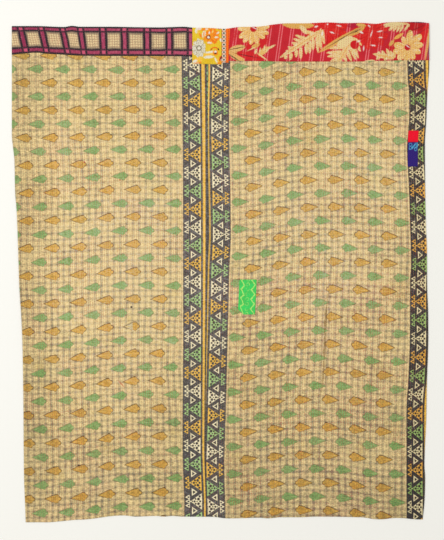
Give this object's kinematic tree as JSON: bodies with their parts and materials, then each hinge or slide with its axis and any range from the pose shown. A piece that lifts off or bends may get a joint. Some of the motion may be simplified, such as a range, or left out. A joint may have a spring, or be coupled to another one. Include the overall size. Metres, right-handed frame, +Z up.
{
  "type": "kantha quilt",
  "caption": "Kantha quilt of leaf-printed plaid sari cloth with triangle borders, patchwork bands along its top hem and small mends, quilted in close rows and laid flat.",
  "frame": {"origin": "middle of the quilt's bounding box, on the surface it lies on", "axes": "+X to the quilt's right side seen from above, +Y towards its top hem with the patchwork bands, +Z up through its face"},
  "size_m": [1.835, 2.2, 0.01],
  "materials": {
    "backing": "plain worn cotton",
    "left_cloth": "straw plaid cotton with green and mustard leaves and a dark triangle border",
    "right_cloth": "straw plaid cotton with green and mustard leaves and dark triangle borders",
    "check_band": "magenta, black and beige window check cotton",
    "floral_patch": "yellow and orange floral printed cotton",
    "dotted_strip": "brown cotton with a row of dots beside an orange stripe",
    "red_band": "crimson striped cotton with cream flowers and ferns",
    "green_patch": "bright green printed cotton with pale zigzags",
    "red_patch": "bright red cotton",
    "blue_patch": "navy cotton with light blue scrolls"
  },
  "bodies": {
    "root": {"backing": "backing", "left_cloth": "left_cloth", "right_cloth": "right_cloth", "check_band": "check_band", "floral_patch": "floral_patch", "dotted_strip": "dotted_strip", "red_band": "red_band", "green_patch": "green_patch", "red_patch": "red_patch", "blue_patch": "blue_patch"}
  },
  "joints": []
}
